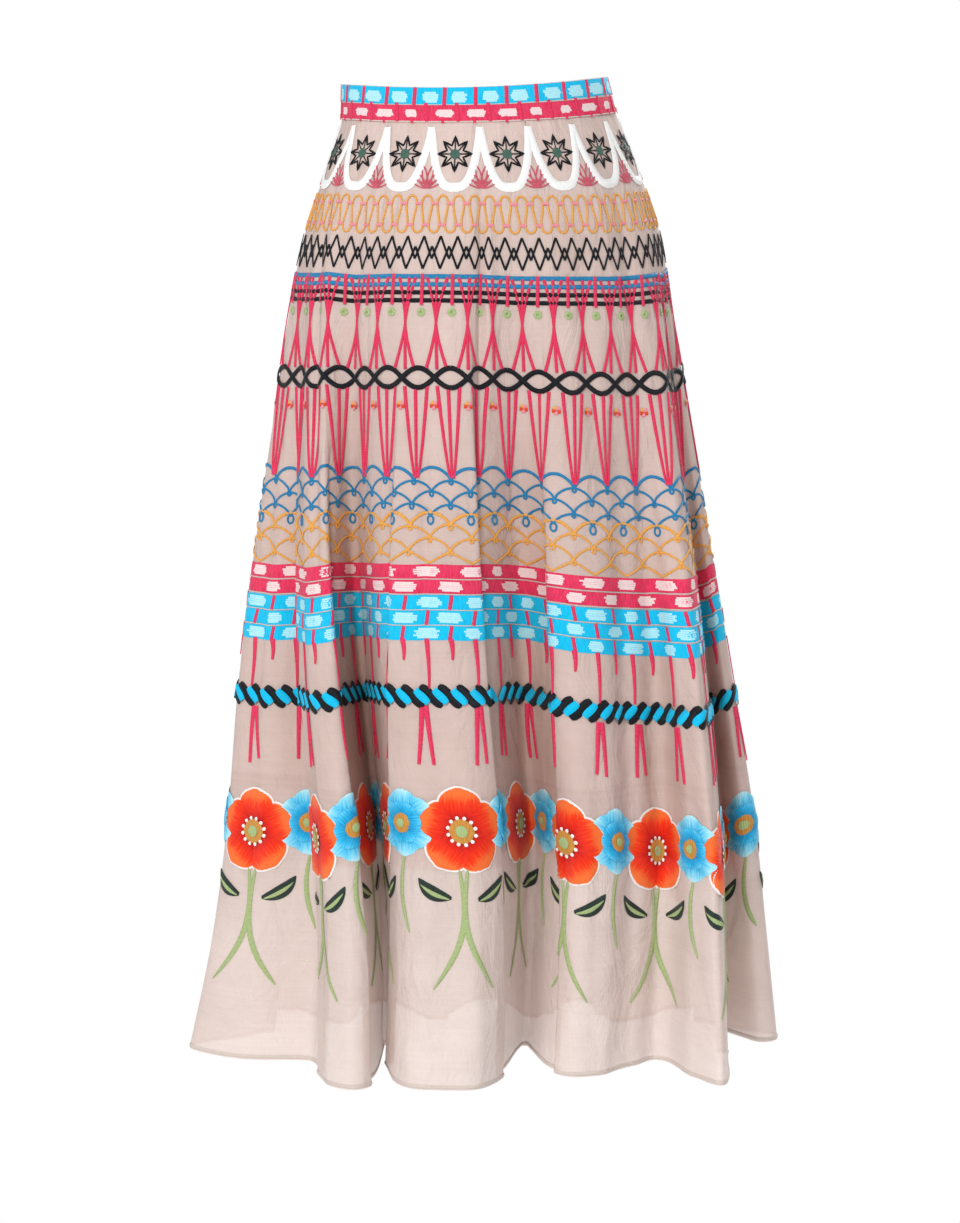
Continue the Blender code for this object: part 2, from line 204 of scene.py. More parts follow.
def hem_table(steps=200):
    """The hem's closed plan curve through the fold lines, by turn."""
    places = np.array([[fold.x, fold.y] for fold in FOLDS])
    turns = np.array([fold.turn for fold in FOLDS])
    roundness = np.array([[fold.roundness] for fold in FOLDS])
    before, after = np.roll(places, 1, axis=0), np.roll(places, -1, axis=0)
    spans = np.mod(np.roll(turns, -1) - turns, 1.0)
    both = (spans + np.roll(spans, 1))[:, None]
    slopes = 2 * roundness * (after - before) / both
    t = np.linspace(0, 1, steps, endpoint=False)
    curve, along = [], []
    for i, span in enumerate(spans):
        j = (i + 1) % len(FOLDS)
        curve.append(eased(places[i], places[j], slopes[i] * span, slopes[j] * span, t[:, None]))
        along.append(turns[i] + span * t)
    curve.append(places[:1])
    along.append([1.0])
    return np.concatenate(along), np.concatenate(curve)


SECTION_DOWN, SECTION_FINE = section_table()
HEM_TURN, HEM_CURVE = hem_table()


def section(down):
    """Half width, half depth and centre of the body at a level."""
    return [np.interp(down, SECTION_DOWN, SECTION_FINE[:, column]) for column in range(1, 5)]


def body_angle(turn, half_width, half_depth):
    """The ellipse angle that lies a share of the way round, by length."""
    width, depth = half_width ** 2, half_depth ** 2
    lag = (width - depth) / (4 * (width + depth))
    angle = 2 * np.pi * turn
    return angle - lag * np.sin(2 * angle)


def body_point(turn, down):
    """A point of the smooth body, in plan."""
    half_width, half_depth, centre_x, centre_y = section(down)
    angle = body_angle(turn, half_width, half_depth)
    return np.stack([centre_x - half_width * np.sin(angle),
                     centre_y + half_depth * np.cos(angle)], -1)


def cloth_plan(turn, down):
    """A point of the outer cloth in plan, folds included."""
    turn, down = np.broadcast_arrays(np.asarray(turn, float), np.asarray(down, float))
    wrapped = np.mod(turn, 1.0)
    hem = np.stack([np.interp(wrapped, HEM_TURN, HEM_CURVE[:, k]) for k in range(2)], -1)
    grown = np.clip((down - FOLD_TOP) / (HEM_DOWN - FOLD_TOP), 0, 1) ** FOLD_GROWTH
    fold = hem - body_point(wrapped, np.full_like(down, HEM_DOWN))
    return body_point(wrapped, down) + grown[..., None] * fold


def cloth_height(turn, down):
    """World height of a level: the waist dips and tilts, the hem is level."""
    half_width, half_depth, _, _ = section(down)
    angle = body_angle(turn, half_width, half_depth)
    fade = np.clip(1 - down / LEVEL_DOWN, 0, 1)
    rise = -WAIST_TILT * np.sin(angle) - WAIST_DIP * np.cos(angle) ** 2
    return ORIGIN_DOWN - down + fade * rise


def turn_gap(turn, line):
    """How far a turn lies past a line, the short way round."""
    return np.mod(turn - line + 0.5, 1.0) - 0.5


def crease_depth(turn, down, stretch):
    """How far the small creases move the cloth out or in."""
    depth = np.zeros(np.shape(turn))
    for crease in CREASES:
        share = np.clip((down - crease.top) / (crease.bottom - crease.top), 0, 1)
        line = crease.turn + crease.lean * share
        away = turn_gap(turn, line) * stretch
        run = np.sin(np.pi * np.clip(share * CREASE_SPAN[0] + CREASE_SPAN[1], 0, 1))
        run = run ** CREASE_POWER
        inside = (down > crease.top) & (down < crease.bottom + CREASE_PAST)
        depth += np.where(inside, crease.depth * run * np.exp(-(away / crease.width) ** 2), 0)
    return depth


def pleat_parts(turn, down, stretch):
    """How far each sharp edge moves the cloth, and how much it hides behind, which adds painted
    shade there.
    """
    depth, shade_behind = np.zeros(np.shape(turn)), np.zeros(np.shape(turn))
    for pleat in PLEATS:
        share = np.clip((down - pleat.top) / (HEM_DOWN - pleat.top), 0, 1)
        line = pleat.turn + pleat.lean * share
        away = turn_gap(turn, line) * stretch * pleat.side
        grown = np.clip((down - pleat.top) / PLEAT_GROWTH, 0, 1)
        grown = grown * grown * (3 - 2 * grown)
        fade = np.exp(-np.abs(away) / pleat.reach) * grown
        step = np.tanh(away / PLEAT_EDGE)
        depth += fade * np.where(step < 0, -step * pleat.out, -step * pleat.back)
        shade_behind += fade * np.clip(step, 0, 1)
    return depth, shade_behind


def cloth_point(turn, down, lift=0.0):
    """A point at a distance outside the cloth, with its small creases."""
    turn, down = np.broadcast_arrays(np.asarray(turn, float), np.asarray(down, float))
    tangent = cloth_plan(turn + NUDGE, down) - cloth_plan(turn - NUDGE, down)
    length = np.linalg.norm(tangent, axis=-1, keepdims=True)
    outward = np.stack([tangent[..., 1], -tangent[..., 0]], -1) / length
    stretch = length[..., 0] / (2 * NUDGE)
    away = lift + crease_depth(turn, down, stretch) + pleat_parts(turn, down, stretch)[0]
    plan = cloth_plan(turn, down)
    share = np.clip(down / BAND_HEIGHT, 0, 1)[..., None]
    wall = (1 - share) * cloth_plan(turn, 0.0) + share * cloth_plan(turn, BAND_HEIGHT)
    plan = np.where(share < 1, wall, plan) + away[..., None] * outward
    return np.concatenate([plan, cloth_height(turn, down)[..., None]], -1)


def drop(turn, down):
    """How far a band hangs below its level at this turn."""
    return np.interp(np.mod(turn, 1.0), DROP_TABLE[:, 0], DROP_TABLE[:, 1]) * down / DROP_DOWN


# Painted shade in the folds: how open the cloth lies, found with rays in plan at these levels,
# turns and slants.
OPEN_LEVELS = np.array([0.033, 0.12, 0.20, 0.28, 0.36, 0.45, 0.54, 0.63, 0.72, 0.83, 0.944])
OPEN_TURNS = 720
OPEN_REACH = 0.16
OPEN_SLANTS = np.radians(np.linspace(-80, 80, 13))
OPEN_START = 0.001
OPEN_LEAST = 0.0005
PLEAT_SHADE = 0.30
# Below the lining the folds are lit through and the painted shade fades: half the height of that
# change and the share of painted shade it takes away.
SHEER_REACH = 0.08
SHEER_SHARE = 0.95


def painted_fold_light_table():
    """How open the cloth lies at each turn and level, from 0 deep in a fold to 1; where it is low
    the colour gets painted shade.
    """
    turns = np.arange(OPEN_TURNS) / OPEN_TURNS
    table = np.ones((len(OPEN_LEVELS), OPEN_TURNS))
    for row, down in enumerate(OPEN_LEVELS):
        plan = cloth_plan(turns, down)
        tangent = np.roll(plan, -1, 0) - np.roll(plan, 1, 0)
        tangent /= np.linalg.norm(tangent, axis=1, keepdims=True)
        outward = np.stack([tangent[:, 1], -tangent[:, 0]], -1)
        start = plan + OPEN_START * outward
        side = np.roll(plan, -1, 0) - plan
        gap_x = plan[None, :, 0] - start[:, None, 0]
        gap_y = plan[None, :, 1] - start[:, None, 1]
        lost = np.zeros(OPEN_TURNS)
        for slant in OPEN_SLANTS:
            ray = math.cos(slant) * outward + math.sin(slant) * tangent
            cross = ray[:, None, 0] * side[None, :, 1] - ray[:, None, 1] * side[None, :, 0]
            cross = np.where(np.abs(cross) < NEARLY_ZERO, NEARLY_ZERO, cross)
            far = (gap_x * side[None, :, 1] - gap_y * side[None, :, 0]) / cross
            share = (gap_x * ray[:, None, 1] - gap_y * ray[:, None, 0]) / cross
            met = (far > OPEN_LEAST) & (far < OPEN_REACH) & (share >= 0) & (share <= 1)
            near = np.where(met, far, OPEN_REACH).min(axis=1)
            lost += math.cos(slant) * (1 - near / OPEN_REACH)
        table[row] = 1 - lost / np.cos(OPEN_SLANTS).sum()
    return table


FOLD_LIGHT_TABLE = painted_fold_light_table()


def openness(turn, down):
    """The fold light at any turn and level: 1 where the cloth lies open, lower where painted shade
    darkens the folds and beside the sharp edges.
    """
    turn, down = np.broadcast_arrays(np.asarray(turn, float), np.asarray(down, float))
    row = np.clip(np.searchsorted(OPEN_LEVELS, down) - 1, 0, len(OPEN_LEVELS) - 2)
    span = OPEN_LEVELS[row + 1] - OPEN_LEVELS[row]
    mix = np.clip((down - OPEN_LEVELS[row]) / span, 0, 1)
    place = np.mod(turn, 1.0) * OPEN_TURNS
    first = np.floor(place).astype(int)
    part = place - first
    first, second = first % OPEN_TURNS, (first + 1) % OPEN_TURNS
    upper = FOLD_LIGHT_TABLE[row, first] * (1 - part) + FOLD_LIGHT_TABLE[row, second] * part
    lower = FOLD_LIGHT_TABLE[row + 1, first] * (1 - part) + FOLD_LIGHT_TABLE[row + 1, second] * part
    stretch = np.linalg.norm(cloth_plan(turn + NUDGE, down) - cloth_plan(turn - NUDGE, down),
                             axis=-1) / (2 * NUDGE)
    shade_behind = pleat_parts(turn, down, stretch)[1]
    painted_shade = 1 - upper * (1 - mix) - lower * mix + PLEAT_SHADE * shade_behind
    sheer_share = np.clip((down - LINING_DOWN + SHEER_REACH) / (2 * SHEER_REACH), 0, 1)
    return np.clip(1 - painted_shade * (1 - SHEER_SHARE * sheer_share), 0, 1)


LEVEL_STEPS = 6000


class Level:
    """A line round the cloth at one distance down, measured along itself."""

    def __init__(self, down, margin=0.004):
        self.down = down
        self.margin = margin
        self.turns = np.linspace(0, 1, LEVEL_STEPS + 1)
        points = cloth_point(self.turns, down + drop(self.turns, down))
        moves = np.linalg.norm(np.diff(points, axis=0), axis=1)
        self.along = np.concatenate([[0], np.cumsum(moves)])
        self.front = np.interp(0.5, self.turns, self.along)
        self.length = self.along[-1] - 2 * self.margin

    def turn(self, along):
        """The turn at a distance from the centre front, to the right."""
        return np.interp(np.asarray(along) + self.front, self.along, self.turns)

    def starts(self, pitch, count=None):
        """Evenly spaced places from seam to seam, and their true spacing."""
        if count is None:
            count = 2 * int(round(self.length / pitch / 2))
        step = self.length / count
        first = self.margin - self.front
        return first + step * (np.arange(count) + 0.5), step

    def place(self, along, below, lift):
        """World points from distances along and below this line, with the painted fold light
        there.
        """
        turn = self.turn(along)
        down = self.down + below + drop(turn, self.down)
        return cloth_point(turn, down, lift), openness(turn, down)


SHARES = Level(0.358).starts(0.0350)[0].size


def spaced(down, pitch=None, count=SHARES):
    """A level, its evenly spaced places and their spacing."""
    level = Level(down)
    if pitch is None:
        return (level, *level.starts(0, count))
    return (level, *level.starts(pitch))


# Materials.
CLOTH_SHINE = 0.25


class Nodes:
    """A small helper that lays out one material's nodes."""

    def __init__(self, name, roughness, sheen, metallic=0.0):
        self.made = bpy.data.materials.new(name)
        self.made.use_nodes = True
        self.tree = self.made.node_tree
        self.shader = self.tree.nodes["Principled BSDF"]
        self.feed(self.shader, Roughness=roughness, Metallic=metallic, Sheen_Weight=sheen,
                  Specular_IOR_Level=0.5 if metallic else CLOTH_SHINE)

    def give(self, socket, value):
        """Gives a socket a value, or a link from another socket."""
        if isinstance(value, bpy.types.NodeSocket):
            self.tree.links.new(value, socket)
        else:
            socket.default_value = value

    def feed(self, node, **values):
        """Sets a node's sockets and settings by name."""
        for name, value in values.items():
            socket = node.inputs.get(name.replace("_", " "))
            if socket is None:
                setattr(node, name, value)
            else:
                self.give(socket, value)
        return node

    def add(self, kind, out=0, **values):
        """A new node's output, with the node's sockets and settings given by name."""
        return self.feed(self.tree.nodes.new(kind), **values).outputs[out]

    def ramp(self, factor, stops):
        """Colours along a factor."""
        out = self.add("ShaderNodeValToRGB", Fac=factor)
        elements = out.node.color_ramp.elements
        elements[0].position, elements[1].position = stops[0][0], stops[-1][0]
        for place, _ in stops[1:-1]:
            elements.new(place)
        for element, (_, colour) in zip(elements, stops):
            element.color = (*colour, 1.0)
        return out

    def flat_place(self):
        """The place in the piece's own map."""
        return self.add("ShaderNodeUVMap", uv_map="UVMap")

    def part(self, vector, axis):
        """One part of a vector."""
        return self.add("ShaderNodeSeparateXYZ", axis, Vector=vector)

    def noise(self, place, stretch=None, **values):
        """Noise at a place, stretched if a scale is given."""
        if stretch is not None:
            place = self.add("ShaderNodeMapping", Vector=place, Scale=stretch)
            values = {"Scale": 1.0, **values}
        return self.add("ShaderNodeTexNoise", "Fac", Vector=place, **values)

    def mix(self, kind, factor, first, second, **values):
        """One thing mixed with another."""
        out = self.add(kind, **values)
        sockets = [socket for socket in out.node.inputs if socket.enabled]
        for socket, value in zip(sockets, (factor, first, second)):
            self.give(socket, value)
        return next(socket for socket in out.node.outputs if socket.enabled)

    def surface(self, factor, first, second):
        """The material's surface: one shader mixed with another."""
        both = self.mix("ShaderNodeMixShader", factor, first, second)
        self.feed(self.tree.nodes["Material Output"], Surface=both)

    def bump(self, height, distance, strength, **under):
        """Bump on the shader from a height, over another bump if there is one."""
        bumped = self.add("ShaderNodeBump", Height=height, Distance=distance,
                          Strength=strength, **under)
        self.feed(self.shader, Normal=bumped)
        return bumped

    def paint(self, colour):
        """The shader's colour."""
        self.feed(self.shader, Base_Color=colour)

    def fold_shaded(self, colour):
        """A colour with painted shade, darker where the cloth lies deep between folds."""
        depth = self.add("ShaderNodeAttribute", "Fac", attribute_name="openness")
        return self.tinted(colour, self.ramp(depth, FOLD_SHADE_TINTS))

    def lined(self, colour, place):
        """A colour that deepens where the lining hangs behind, with its stitched hem."""
        down = self.maths("MULTIPLY", self.part(place, "Y"), -1.0)
        return self.tinted(colour, self.ramp(down, LINED_TINTS))

    def tinted(self, colour, tint):
        """One colour seen through another."""
        return self.mix("ShaderNodeMix", 1.0, colour, tint, data_type="RGBA",
                        blend_type="MULTIPLY")

    def stripes(self, vector, period, direction, distortion=0.0):
        """Fine even waves of a period in metres."""
        return self.add("ShaderNodeTexWave", "Fac", wave_type="BANDS", bands_direction=direction,
                        Vector=vector, Scale=2 * math.pi / (20 * period), Distortion=distortion)

    def weave(self, place, period, upright):
        """The height of a plain weave."""
        warp = self.stripes(place, period, "X", 0.3)
        return self.maths("ADD", warp, self.stripes(place, period, upright, 0.3))

    def maths(self, operation, *values):
        """A sum of sockets and numbers."""
        out = self.add("ShaderNodeMath", operation=operation)
        for socket, value in zip(out.node.inputs, values):
            self.give(socket, value)
        return out


STITCH = 0.0011
STITCH_BUMP = (0.0004, 0.7)
WEAVE_BUMP = (0.0002, 0.35)
PETAL_LENGTH = 0.036
# Painted shade deep in the folds: colour multipliers by fold light.
FOLD_SHADE_TINTS = ((0.10, (0.70, 0.54, 0.48)), (0.50, (0.86, 0.78, 0.74)), (0.88, (1.0, 1.0, 1.0)))

# The lining seen through the organza: its ground, turned hem, stitch lines and edge.
LINING_HEM = 0.060
LINING_ROWS = tuple(LINING_DOWN - LINING_HEM - row for row in (0.013, 0.0065, 0.0))
LINED = (0.92, 0.865, 0.855)
LINED_HEM = (0.905, 0.845, 0.835)
LINED_STITCH = (0.83, 0.755, 0.740)
UNLINED = (0.97, 0.96, 0.96)
STITCH_FADE = 0.0014
EDGE_FADE = 0.0012
LINED_TINTS = [(0.05, (1.0, 0.97, 0.965)), (0.45, LINED)]
for row in LINING_ROWS:
    LINED_TINTS += [(row - STITCH_FADE, LINED if row == LINING_ROWS[0] else LINED_HEM),
                    (row, LINED_STITCH), (row + STITCH_FADE, LINED_HEM)]
LINED_TINTS += [(LINING_DOWN - EDGE_FADE, LINED_HEM), (LINING_DOWN + EDGE_FADE, UNLINED)]


def thread(name, dark, light, across):
    """Embroidery thread, with its stitches across or along a strip, and painted shade deep in the
    folds.
    """
    look = Nodes(name, roughness=0.52, sheen=0.05)
    look.feed(look.shader, Sheen_Roughness=0.4)
    place = look.flat_place()
    stitches = look.stripes(place, STITCH, "X" if across else "Y", 0.6)
    streaks = look.noise(place, (900, 120, 1) if across else (120, 900, 1), Detail=3.0,
                         Roughness=0.6)
    shade = look.maths("MULTIPLY", look.maths("ADD", stitches, streaks), streaks)
    colour = look.ramp(shade, ((0.15, dark), (0.75, light)))
    look.paint(look.fold_shaded(colour))
    look.bump(stitches, *STITCH_BUMP)
    return look.made


def petal_thread(name, stops):
    """Long satin stitches that change colour from a petal's root to its edge, with painted shade
    deep in the folds.
    """
    look = Nodes(name, roughness=0.5, sheen=0.06)
    place = look.flat_place()
    streaks = look.noise(place, (70, 650, 1), Detail=3.0, Roughness=0.65)
    far = look.add("ShaderNodeMapRange", From_Max=PETAL_LENGTH, Value=look.part(place, "X"))
    ragged = look.maths("MULTIPLY_ADD", streaks, 0.75, -0.37)
    look.paint(look.fold_shaded(look.ramp(look.maths("ADD", far, ragged), stops)))
    look.bump(look.maths("ADD", look.stripes(place, STITCH, "Y", 0.4), streaks), *STITCH_BUMP)
    return look.made


Sheer = namedtuple("Sheer", "pale deep alpha weave through roughness lined")


def sheer(name, plan):
    """Thin woven cloth that lets some light through, with painted shade deep in the folds."""
    look = Nodes(name, plan.roughness, sheen=0.22)
    place = look.flat_place()
    blend = look.mix("ShaderNodeMix", 0.35,
                     look.noise(place, Scale=16.0, Detail=5.0, Roughness=0.62),
                     look.noise(place, (14, 420, 1), Detail=4.0, Roughness=0.7), data_type="FLOAT")
    tone = look.fold_shaded(look.ramp(blend, ((0.3, plan.deep), (0.7, plan.pale))))
    if plan.lined:
        tone = look.lined(tone, place)
    look.paint(tone)
    look.feed(look.shader, Alpha=plan.alpha, Sheen_Roughness=0.3)
    look.surface(plan.through, look.shader.outputs[0],
                 look.add("ShaderNodeBsdfTranslucent", Color=tone))
    crumple = look.noise(place, (34, 16, 1), Detail=4.0, Roughness=0.55, Distortion=0.8)
    crumpled = look.bump(crumple, 0.008, 0.7)
    look.bump(look.weave(place, plan.weave, "Y"), *WEAVE_BUMP, Normal=crumpled)
    return look.made


def firm_cloth(name, dark, light, weave):
    """Firm cloth or tape on a solid, which has no map of its own."""
    look = Nodes(name, roughness=0.6, sheen=0.15)
    place = look.add("ShaderNodeTexCoord", "Object")
    cloudy = look.noise(place, Scale=260.0, Detail=4.0, Roughness=0.6)
    look.paint(look.ramp(cloudy, ((0.3, dark), (0.7, light))))
    look.bump(look.weave(place, weave, "Z"), *WEAVE_BUMP)
    return look.made


def metal(name):
    """Brushed light metal for the zip."""
    look = Nodes(name, roughness=0.32, sheen=0.0, metallic=1.0)
    place = look.add("ShaderNodeTexCoord", "Object")
    grain = look.noise(place, Scale=900.0, Detail=3.0)
    look.paint(look.ramp(grain, ((0.3, (0.48, 0.47, 0.46)), (0.7, (0.7, 0.69, 0.67)))))
    look.bump(grain, 0.0001, 0.4)
    return look.made


# Cloth.


def put(name, data):
    """An object put in the scene."""
    thing = bpy.data.objects.new(name, data)
    bpy.context.scene.collection.objects.link(thing)
    return thing


def finish_piece(name, mesh, look):
    """An object that rides with the skirt."""
    mesh.polygons.foreach_set("use_smooth", [True] * len(mesh.polygons))
    mesh.materials.append(look)
    piece = put(name, mesh)
    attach(piece, "root")
    return piece


def face_outward(build):
    """Turns a mesh inside out if its first face looks inward."""
    build.faces.ensure_lookup_table()
    first = build.faces[0]
    first.normal_update()
    middle = first.calc_center_median()
    if first.normal.x * middle.x + first.normal.y * middle.y < 0:
        bmesh.ops.reverse_faces(build, faces=build.faces)


def gridded(name, turn, down, lift, look):
    """A sheet from a plain grid whose points are moved onto the cloth."""
    rows, columns = turn.shape
    build = bmesh.new()
    bmesh.ops.create_grid(build, x_segments=columns - 1, y_segments=rows - 1, size=0.5)
    order = sorted(build.verts, key=lambda vert: (round(-vert.co.y, 6), round(vert.co.x, 6)))
    points = cloth_point(turn, down, lift).reshape(-1, 3)
    middle = cloth_point(turn, np.full(turn.shape, 0.5))
    moves = np.linalg.norm(np.diff(middle[0], axis=0), axis=1)
    across = np.concatenate([[0], np.cumsum(moves)])
    maps = np.stack([np.broadcast_to(across, turn.shape), -down], -1).reshape(-1, 2)
    for vert, point in zip(order, points):
        vert.co = point
    layer = build.loops.layers.uv.new("UVMap")
    build.verts.index_update()
    number = {vert.index: k for k, vert in enumerate(order)}
    for face in build.faces:
        for loop in face.loops:
            loop[layer].uv = maps[number[loop.vert.index]]
    face_outward(build)
    mesh = bpy.data.meshes.new(name)
    build.to_mesh(mesh)
    build.free()
    # The painted fold light at each point, kept for the material's painted shade.
    depth = openness(turn, down).reshape(-1)
    values = np.empty(len(order))
    for index, k in number.items():
        values[index] = depth[k]
    mesh.attributes.new("openness", "FLOAT", "POINT").data.foreach_set("value", values)
    return finish_piece(name, mesh, look)


def hang(node, turn, down):
    """Hides the solid part that a sheet stands for, and measures the sheet's width at its lowest
    row.
    """
    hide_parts(node)
    width = np.linalg.norm(np.diff(cloth_point(turn[-1], down[-1]), axis=0), axis=1).sum()


def even_turns(first, last, count):
    """Turns between two seams, evenly spaced along the cloth."""
    turns = np.linspace(first, last, 4000)
    length = np.zeros(len(turns))
    for down in (0.2, 0.6, HEM_DOWN):
        moves = np.linalg.norm(np.diff(cloth_plan(turns, down), axis=0), axis=1)
        length[1:] += np.cumsum(moves)
    return np.interp(np.linspace(0, length[-1], count), length, turns)


def seam_shift(turn, down, away):
    """The change of turn that moves a point a distance along the cloth."""
    probe = 0.002
    length = np.linalg.norm(cloth_plan(turn + probe, down) - cloth_plan(turn, down), axis=-1)
    return away * probe / length


def cloth_grid(first, last, columns, levels):
    """Turns and levels of a sheet, its edges held off the seams and zip."""
    turns = even_turns(first, last, columns)
    share = (turns - first) / (last - first)
    beside = np.where(levels <= ZIP_DOWN, CHAIN_WIDTH / 2 + SEAM_GAP, SEAM_GAP / 2)
    plain = np.full(len(levels), SEAM_GAP / 2)
    start = first + seam_shift(first, levels, beside if first == 0.0 else plain)
    end = last - seam_shift(last, levels, beside if last == 1.0 else plain)
    turn = start[:, None] + (end - start)[:, None] * share[None, :]
    return turn, np.repeat(levels[:, None], len(turns), axis=1)


PANEL_LEVELS = np.concatenate([np.linspace(PANEL_TOP, ZIP_DOWN, 26),
                               np.linspace(ZIP_DOWN + 0.0015, HEM_DOWN, 84)])
LINING_LEVELS = PANEL_LEVELS[PANEL_LEVELS < LINING_DOWN]

ORGANZA = Sheer(pale=(0.88, 0.755, 0.700), deep=(0.75, 0.625, 0.570), alpha=0.86, weave=0.0016,
                through=0.18, roughness=0.5, lined=True)
SLIP_CLOTH = Sheer(pale=(0.80, 0.54, 0.48), deep=(0.72, 0.47, 0.41), alpha=0.97, weave=0.0012,
                   through=0.06, roughness=0.6, lined=False)
organza = sheer("organza", ORGANZA)
slip_cloth = sheer("lining cloth", SLIP_CLOTH)

SLIP_COLUMNS = 900
CUTS = table("Cut", "name node first last columns", (
    ("organza_front", "front_panel", SIDE_SEAMS[0], SIDE_SEAMS[1], 640),
    ("organza_back_left", "back_panel_left", 0.0, SIDE_SEAMS[0], 320),
    ("organza_back_right", "back_panel_right", SIDE_SEAMS[1], 1.0, 320),
))
for cut in CUTS:
    turn, down = cloth_grid(cut.first, cut.last, cut.columns, PANEL_LEVELS)
    panel = gridded(cut.name, turn, down, 0.0, organza)
    hang(cut.node, turn, down)

turn, down = cloth_grid(0.0, 1.0, SLIP_COLUMNS, LINING_LEVELS)
share = (down - BAND_HEIGHT) / (LINING_DOWN - BAND_HEIGHT)
gap = LINING_GAP_TOP + (LINING_GAP_HEM - LINING_GAP_TOP) * np.sqrt(share)
slip = gridded("lining_slip", turn, down, -PANEL_WALL - gap, slip_cloth)
hang("lining", turn, down)


# Embroidery.


class Stitching:
    """Raised strips of thread, joined into one mesh for each colour."""

    def __init__(self):
        self.points, self.faces, self.maps, self.depths, self.count = [], [], [], [], 0

    def strips(self, level, along, below, half, lift, dome, across=5, closed=False):
        """Strips along paths, rows of points, each with its half width."""
        along, below = np.broadcast_arrays(np.atleast_2d(along), np.atleast_2d(below))
        half = np.broadcast_to(half, along.shape)
        if closed:
            step_a = np.roll(along, -1, 1) - np.roll(along, 1, 1)
            step_b = np.roll(below, -1, 1) - np.roll(below, 1, 1)
            along, below, half, step_a, step_b = (
                np.concatenate([part, part[:, :1]], 1)
                for part in (along, below, half, step_a, step_b))
        else:
            step_a, step_b = np.gradient(along, axis=1), np.gradient(below, axis=1)
        size = np.hypot(step_a, step_b) + NEARLY_ZERO
        side = np.linspace(-1, 1, across)
        a = along[..., None] - (step_b / size)[..., None] * half[..., None] * side
        b = below[..., None] + (step_a / size)[..., None] * half[..., None] * side
        raised = lift + dome * np.sqrt(1 - side ** 2) * np.ones_like(a)
        points, depths = level.place(a, b, raised)
        count, rows, columns = a.shape
        travel = np.concatenate([np.zeros((count, 1)), np.cumsum(np.hypot(
            np.diff(along, axis=1), np.diff(below, axis=1)), axis=1)], 1)
        maps = np.stack([np.broadcast_to(travel[..., None], a.shape),
                         half[..., None] * side * np.ones_like(a)], -1)
        index = np.arange(count * rows * columns).reshape(count, rows, columns) + self.count
        faces = np.stack([index[:, :-1, :-1], index[:, :-1, 1:], index[:, 1:, 1:],
                          index[:, 1:, :-1]], -1).reshape(-1, 4)
        self.points.append(points.reshape(-1, 3))
        self.maps.append(maps.reshape(-1, 2))
        self.depths.append(depths.reshape(-1))
        self.faces.append(faces)
        self.count += count * rows * columns

    def all_round(self, level, pitch, below, half, lift, dome):
        """One plain strip all round the skirt."""
        self.strips(level, level.starts(pitch)[0], below, half, lift, dome)

    def build(self, name, look, slot):
        """One object from everything laid down."""
        faces = np.concatenate(self.faces)
        mesh = bpy.data.meshes.new(name)
        mesh.from_pydata(np.concatenate(self.points).tolist(), [], faces.tolist())
        maps = np.concatenate(self.maps)[faces.reshape(-1)]
        mesh.uv_layers.new(name="UVMap").data.foreach_set("uv", maps.reshape(-1))
        # The painted fold light, which the thread material turns into painted shade.
        depths = mesh.attributes.new("openness", "FLOAT", "POINT")
        depths.data.foreach_set("value", np.concatenate(self.depths))
        build = bmesh.new()
        build.from_mesh(mesh)
        face_outward(build)
        build.to_mesh(mesh)
        build.free()
        return finish_piece(name, mesh, look)


def ends_in(steps, power, least):
    """A width profile that closes at both ends."""
    t = np.linspace(-1, 1, steps)
    return np.maximum((1 - t ** 2) ** power, least)


def whole_ring(steps):
    """Angles all round a ring."""
    return np.linspace(0, 2 * np.pi, steps, endpoint=False)


chance = np.random.default_rng(7)

(blue, pale_blue, pink, pale_pink, tie_pink, rose, black, white, orange, deep_blue, green,
 pale_green, red, seam_thread, hem_roll, red_petals, blue_petals, red_edge, mustard, stem_green,
 dark_leaf) = (Stitching() for _ in range(21))


def ribbon(stitches, down, height):
    """A satin ribbon all round the skirt, between two levels."""
    level = Level(down + height / 2)
    stitches.all_round(level, pitch=0.0016, below=0.0, half=height / 2, lift=0.0003, dome=0.0004)
    return level


def lines(stitches, level, starts, tops, ends, bottoms, half, lift=0.0006, dome=0.0008, steps=5):
    """Straight stitches, each from one place to another."""
    t = np.linspace(0, 1, steps)
    starts, tops, ends, bottoms = np.broadcast_arrays(
        *(np.asarray(part, float) for part in (starts, tops, ends, bottoms)))
    along = starts[:, None] + (ends - starts)[:, None] * t
    below = tops[:, None] + (bottoms - tops)[:, None] * t
    stitches.strips(level, along, below, half, lift, dome)


# Pale patches: how far their lengths, places and rows stray, and how many are left out.
PATCH_LENGTHS = (0.7, 1.3)
PATCH_SLIP = 0.12
PATCH_LEFT_OUT = 0.04
ROW_LENGTHS = (0.86, 1.06)
ROW_SLIP = 0.05
OUTER_ROW = 0.8
ROW_OVERLAP = 0.56


def patches(stitches, level, places, below, length, height, lift=0.0006, rows=5):
    """Pale patches with ragged ends, each from a few stitches laid close."""
    count = len(places)
    tall = height / rows
    lengths = length * chance.uniform(*PATCH_LENGTHS, count)
    slips = chance.uniform(-PATCH_SLIP, PATCH_SLIP, count) * length
    kept = chance.uniform(0.0, 1.0, count) > PATCH_LEFT_OUT
    for row in range(rows):
        middle = below + (row - (rows - 1) / 2) * tall
        ragged = lengths * chance.uniform(*ROW_LENGTHS, count)
        if row in (0, rows - 1):
            ragged = ragged * OUTER_ROW
        centre = (places + slips + chance.uniform(-ROW_SLIP, ROW_SLIP, count) * length)[kept]
        reach = ragged[kept] / 2
        lines(stitches, level, centre - reach, middle, centre + reach, middle,
              half=tall * ROW_OVERLAP, lift=lift, dome=0.0003, steps=7)


